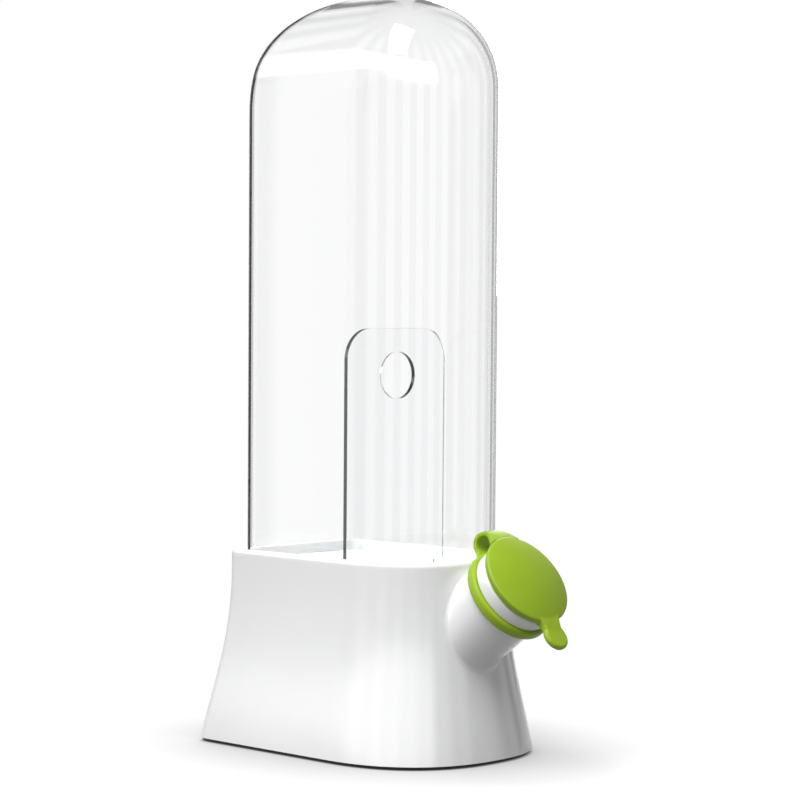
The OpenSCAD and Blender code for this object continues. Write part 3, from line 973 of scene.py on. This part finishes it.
def clear_dome():
    """The clear dome with its true wall."""
    outer, inner = dome_outline(0), dome_outline(-DOME_WALL)
    count = len(outer)
    mesh = bpy.data.meshes.new("clear_dome")
    mesh.from_pydata([(x, y, 0) for x, y in np.vstack((outer, inner))], [], [])
    dome = in_scene("clear_dome", mesh)
    run_tree(dome, dome_tree(CLEAR), **{
        "Count": count, "Levels": DOME_LEVELS, "Wall": DOME_WALL, "Foot": DOME_FOOT,
        "Top": DOME_TOP, "Rise": VAULT_RISE, "Back": DOME_BACK, "Front": DOME_FRONT,
        "Nose": DOME_NOSE, "Back Round": BACK_ROUND, "Front Round": FRONT_ROUND,
        "Wall Share": WALL_SHARE})
    work = bmesh.new()
    work.from_mesh(dome.data)
    bmesh.ops.dissolve_degenerate(work, dist=1e-7, edges=work.edges)
    bmesh.ops.recalc_face_normals(work, faces=work.faces)
    print("dome faces:", len(work.faces), "open edges:", sum(e.is_boundary for e in work.edges),
          "volume cm3:", round(work.calc_volume() * 1e6, 1))
    work.to_mesh(dome.data)
    work.free()
    dome.data.shade_smooth()
    dome.data.set_sharp_from_angle(angle=SHARP_ANGLE)
    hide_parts("dome_cover")
    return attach(dome, "dome")


clear_dome()

# %% [markdown]
# ## The foot pad
# A black rubber pad covers the underside. Its edge is the dark line along the foot in the
# photograph. Such pads stand on small buttons that grip, and these repeat, so they are
# instances on a grid of points, kept only where the outline leaves room for them.

# %% The pad's tree
PAD_INSET = 0.6 * MM
BUTTON_RADIUS = 2.2 * MM
BUTTON_HEIGHT = 0.35 * MM
BUTTON_PITCH = 7.5 * MM
BUTTON_MARGIN = 5 * MM
BUTTON_COLUMNS, BUTTON_ROWS = 13, 17


def pad_tree(material):
    """Adds low round buttons under a pad, where the outline leaves room for them."""
    tree, given, m = geometry_tree(
        "grip buttons", "Pad", ("Columns", "Rows"),
        ("Pitch", "Radius", "Height", "Half", "Back", "Front", "Nose", "Power"), "Pad")
    wide, deep = (m("MULTIPLY", given["Pitch"], m("SUBTRACT", given[name], 1.0))
                  for name in ("Columns", "Rows"))
    grid = add(tree, "GeometryNodeMeshGrid", wide, deep, given["Columns"], given["Rows"])
    split = add(tree, "ShaderNodeSeparateXYZ", out(tree.nodes.new("GeometryNodeInputPosition")))
    x, y = split.outputs["X"], split.outputs["Y"]
    sideways = m("POWER", m("DIVIDE", m("ABSOLUTE", x), given["Half"]), given["Power"])
    forwards = m("POWER", m("DIVIDE", m("MAXIMUM", m("SUBTRACT", given["Nose"], y), 0.0),
                            m("SUBTRACT", given["Nose"], given["Front"])), given["Power"])
    outside = m("MAXIMUM", m("GREATER_THAN", m("ADD", sideways, forwards), 1.0),
                m("GREATER_THAN", y, given["Back"]))
    kept = add(tree, "GeometryNodeDeleteGeometry", out(grid), outside)
    button = add(tree, "GeometryNodeMeshUVSphere", 16, 8, given["Radius"])
    size = add(tree, "ShaderNodeCombineXYZ", 1.0, 1.0,
               m("DIVIDE", given["Height"], given["Radius"]))
    flat = add(tree, "GeometryNodeTransform", out(button), None, None, out(size))
    placed = add(tree, "GeometryNodeInstanceOnPoints", out(kept), None, out(flat))
    join = tree.nodes.new("GeometryNodeJoinGeometry")
    tree.links.new(out(placed), join.inputs[0])
    tree.links.new(given["Pad"], join.inputs[0])
    plain = add(tree, "GeometryNodeRealizeInstances", out(join))
    dressed = add(tree, "GeometryNodeSetMaterial", out(plain), None, material)
    end = tree.nodes.new("NodeGroupOutput")
    tree.links.new(out(dressed), end.inputs["Pad"])
    return tree


def grip_pad():
    """The rubber pad that stands on its buttons."""
    low, high = BUTTON_HEIGHT, PAD_Z
    rings = [at_height(base_outline(PAD_Z, PAD_INSET + inset), z) for inset, z in (
        (0.0, high), (0.0, low + 0.3 * MM), (0.1 * MM, low + 0.1 * MM), (0.3 * MM, low))]
    pad = finish_mesh("grip_pad", skin_over(rings, False), BLACK)
    half, back, front, nose = base_reach(PAD_Z)
    pad.data.transform(Matrix.Translation((0, 0, -BUTTON_HEIGHT)))
    run_tree(pad, pad_tree(BLACK), **{
        "Columns": BUTTON_COLUMNS, "Rows": BUTTON_ROWS, "Pitch": BUTTON_PITCH,
        "Radius": BUTTON_RADIUS, "Height": BUTTON_HEIGHT, "Half": half - BUTTON_MARGIN,
        "Back": back - BUTTON_MARGIN, "Front": front + BUTTON_MARGIN, "Nose": nose,
        "Power": FRONT_POWER})
    pad.data.transform(Matrix.Translation((0, 0, BUTTON_HEIGHT)))
    pad.data.shade_smooth()
    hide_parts("foot_pad")
    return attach(pad, "base")


pad = grip_pad()
print("pad faces:", len(pad.data.polygons))

# %% [markdown]
# ## Tray, divider, plate and seals
# The tray and the divider have the right shape in the CAD model, but their edges are
# mathematically sharp, and an edge without a radius catches no light. So a copy of each is
# merged into one skin, its flat faces are joined up, and a small bevel rounds its edges.


# %% Softened copies of CAD pieces
EDGE_ROUND = 0.3 * MM
EDGE_ANGLE = math.radians(35)
FLAT_ANGLE = math.radians(0.5)


def softened(node, name, material, body):
    """A copy of a CAD node with small rounds on its edges."""
    copy = in_scene(name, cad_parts[node].data.copy())
    work = bmesh.new()
    work.from_mesh(copy.data)
    bmesh.ops.remove_doubles(work, verts=work.verts, dist=0.002 * MM)
    bmesh.ops.dissolve_limit(work, angle_limit=FLAT_ANGLE, verts=work.verts, edges=work.edges)
    work.to_mesh(copy.data)
    work.free()
    bevel = copy.modifiers.new("edge", "BEVEL")
    bevel.width = EDGE_ROUND
    bevel.segments = 3
    bevel.limit_method = "ANGLE"
    bevel.angle_limit = EDGE_ANGLE
    settle(copy)
    copy.data.materials.clear()
    copy.data.materials.append(material)
    copy.data.shade_smooth()
    copy.data.set_sharp_from_angle(angle=EDGE_ANGLE)
    copy.modifiers.new("large_faces_stay_flat", "WEIGHTED_NORMAL").keep_sharp = True
    settle(copy)
    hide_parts(node)
    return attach(copy, body)


softened("stem_tray", "lift_out_tray", WHITE, "tray")
softened("stem_divider", "clear_divider", CLEAR_INSIDE, "tray")
softened("bottom_plate", "closing_plate", WHITE, "base")
softened("dome_seal", "dome_ring", PALE, "base")
softened("bottom_gasket", "plate_ring", PALE, "base")

# %% [markdown]
# ## The studio
# A pale floor in a white room. What the camera sees directly is made white by its own
# colour and not by more light, so the object isn't overlit. Near the keeper the floor is a
# matt grey with a glow on top for the rays that look at it. That glow is darkened by ambient
# occlusion wherever the floor is closed in from above: a painted contact shadow where the
# keeper meets the floor, which the glow alone would wash out. Further out all fades to plain
# white, and no edge shows.

# %% Floor
FLOOR_SIZE = 1.1
FLOOR_DROP = 0.2 * MM
FLOOR_GREY = 0.16
FLOOR_GLOW = 0.86
# How far the painted contact shadow reaches: the ambient occlusion distance on the floor.
PAINTED_SHADOW_REACH = 0.06
FADE_FROM, FADE_TO = 0.12, 0.42


def make_floor():
    """A pale floor that glows for the camera, for gloss and for glass, but lights nothing; its glow
    holds a painted contact shadow.
    """
    work = bmesh.new()
    half = FLOOR_SIZE / 2
    work.faces.new([work.verts.new((x * half, y * half, -FLOOR_DROP))
                    for x, y in ((-1, -1), (1, -1), (1, 1), (-1, 1))])
    mesh = bpy.data.meshes.new("studio_floor")
    work.to_mesh(mesh)
    work.free()
    material = bpy.data.materials.new("studio floor")
    material.use_nodes = True
    tree = material.node_tree
    tree.nodes.clear()
    matte = add(tree, "ShaderNodeBsdfDiffuse", (FLOOR_GREY, FLOOR_GREY, FLOOR_GREY, 1))
    path = tree.nodes.new("ShaderNodeLightPath").outputs
    looks = maths(tree, "MAXIMUM", path["Is Camera Ray"],
                  maths(tree, "MAXIMUM", path["Is Transmission Ray"], path["Is Glossy Ray"]))
    sky = add(tree, "ShaderNodeAmbientOcclusion", None, PAINTED_SHADOW_REACH, samples=16)
    # Painted contact shadow: the glow is darkened by ambient occlusion where the floor is closed in
    # from above.
    glow_with_painted_contact_shadow = maths(tree, "MULTIPLY", sky.outputs["AO"], FLOOR_GLOW)
    glow = add(tree, "ShaderNodeEmission", (1, 1, 1, 1), maths(tree, "MULTIPLY", looks, glow_with_painted_contact_shadow))
    near = add(tree, "ShaderNodeAddShader", out(matte), out(glow))
    place = tree.nodes.new("ShaderNodeTexCoord").outputs["Object"]
    distance = add(tree, "ShaderNodeVectorMath", place, operation="LENGTH")
    away = eased(tree, out(distance), FADE_FROM, FADE_TO)
    plain = add(tree, "ShaderNodeEmission", (1, 1, 1, 1), 1.0)
    both = add(tree, "ShaderNodeMixShader", maths(tree, "MULTIPLY", looks, away), out(near),
               out(plain))
    end = tree.nodes.new("ShaderNodeOutputMaterial")
    tree.links.new(out(both), end.inputs["Surface"])
    mesh.materials.append(material)
    floor = in_scene("studio_floor", mesh)


make_floor()

# %% [markdown]
# ## The room that glass sees
# Clear plastic in an all-white room would vanish, so photographers put dark strips beside
# it. Seen straight through, the dome shows the white behind it, and its edges mirror the
# dark strips, which draws them as grey lines. This room does the same for every side: rays
# that were mirrored on their way see sixteen tall white panels with grey gaps between them,
# and rays that only went through see plain white. Both see a dimmer ceiling, which shades
# the top of the vault. Gloss also sees one broad bright patch low on the left, which the
# flare of the base mirrors as its brightest place. Matt surfaces get a soft pale light that
# is stronger on the key lamp's side, and the camera sees white.

# %% World
WORLD_LIGHT = 0.28
LIGHT_SIDE = (-0.62, -0.46, 0.63)
SHADY_SIDE, BRIGHT_SIDE = 0.25, 2.0
PANELS = 16
PANEL_EDGE = 0.2
GAP_SHADE = 0.3
CEILING_FROM, CEILING_TO = 0.55, 0.85
CEILING_SHADE = 0.3
PATCH_TURN = math.radians(-95)
PATCH_HALF = math.radians(66)
PATCH_LIGHT = 3.5
PATCH_SIDES = (PATCH_HALF + 0.2, PATCH_HALF - 0.1)
PATCH_LOW, PATCH_HIGH = (0.1, 0.17), (0.5, 0.36)


def make_world():
    """Soft light for matt surfaces, tall panels for mirrored rays, white for the camera."""
    world = bpy.data.worlds.new("white room")
    world.use_nodes = True
    tree = world.node_tree
    tree.nodes.clear()
    facing = tree.nodes.new("ShaderNodeTexCoord").outputs["Generated"]
    way = add(tree, "ShaderNodeSeparateXYZ", facing)
    turn = maths(tree, "ARCTAN2", way.outputs["X"], way.outputs["Y"])
    wave = maths(tree, "COSINE", maths(tree, "MULTIPLY", turn, float(PANELS)))
    height = way.outputs["Z"]
    panel = eased(tree, wave, -PANEL_EDGE, PANEL_EDGE, GAP_SHADE, 1.0)
    ceiling = eased(tree, height, CEILING_FROM, CEILING_TO, 1.0, CEILING_SHADE)
    path = tree.nodes.new("ShaderNodeLightPath").outputs
    aside = maths(tree, "ABSOLUTE", maths(tree, "SUBTRACT", turn, PATCH_TURN))
    patch = path["Is Glossy Ray"]
    for value, edge in ((aside, PATCH_SIDES), (height, PATCH_LOW), (height, PATCH_HIGH)):
        patch = maths(tree, "MULTIPLY", patch, eased(tree, value, *edge))
    mirrored = maths(tree, "GREATER_THAN", path["Glossy Depth"], 0.5)
    walls = add(tree, "ShaderNodeMix", mirrored, 1.0, panel, data_type="FLOAT")
    walls = maths(tree, "MULTIPLY", out(walls), ceiling)
    strips = add(tree, "ShaderNodeBackground", (1, 1, 1, 1),
                 maths(tree, "ADD", walls, maths(tree, "MULTIPLY", patch, PATCH_LIGHT)))
    towards = add(tree, "ShaderNodeVectorMath", facing, LIGHT_SIDE, operation="DOT_PRODUCT")
    side = add(tree, "ShaderNodeMapRange", out(towards), -0.3, 1.0, SHADY_SIDE, BRIGHT_SIDE)
    room = add(tree, "ShaderNodeBackground", (1, 1, 1, 1),
               maths(tree, "MULTIPLY", out(side), WORLD_LIGHT))
    white = add(tree, "ShaderNodeBackground", (1, 1, 1, 1), 1.0)
    clear = maths(tree, "MAXIMUM", path["Is Transmission Ray"], path["Is Glossy Ray"])
    glass = add(tree, "ShaderNodeMixShader", clear, out(room), out(strips))
    both = add(tree, "ShaderNodeMixShader", path["Is Camera Ray"], out(glass), out(white))
    end = tree.nodes.new("ShaderNodeOutputWorld")
    tree.links.new(out(both), end.inputs["Surface"])
    bpy.context.scene.world = world


make_world()

# %% [markdown]
# ## Lamps
# One large key lamp stands high on the left, and leaves the spout's right side in shade. A
# weaker lamp behind, on the far side, lightens the wall that the key leaves grey. Neither of
# them is seen straight through the dome, where a lamp would show as a hard white square.


# %% Lamps
def softbox(name, azimuth, elevation, distance, size, power):
    """A lamp that faces the keeper's middle; azimuth 0 is before the spout, 90 at +X."""
    a, e = math.radians(azimuth), math.radians(elevation)
    middle = (Vector(cad_box[0]) + Vector(cad_box[1])) / 2
    away = Vector((math.sin(a) * math.cos(e), -math.cos(a) * math.cos(e), math.sin(e)))
    data = bpy.data.lights.new(name, "AREA")
    data.shape = "RECTANGLE"
    data.size, data.size_y = size
    data.energy = power
    lamp = in_scene(name, data)
    lamp.location = middle + away * distance
    lamp.rotation_mode = "QUATERNION"
    lamp.rotation_quaternion = (-away).to_track_quat("-Z", "Y")
    lamp.visible_transmission = False


softbox("key", -80, 55, 1.1, (0.5, 0.8), 14.0)
softbox("back_rim", 125, 20, 1.2, (0.35, 0.8), 4.0)

# %% [markdown]
# ## Handing over
# The view transform is the plain one, so that a colour renders as it is written.

# %% Finish
bpy.context.scene.view_settings.view_transform = "Standard"
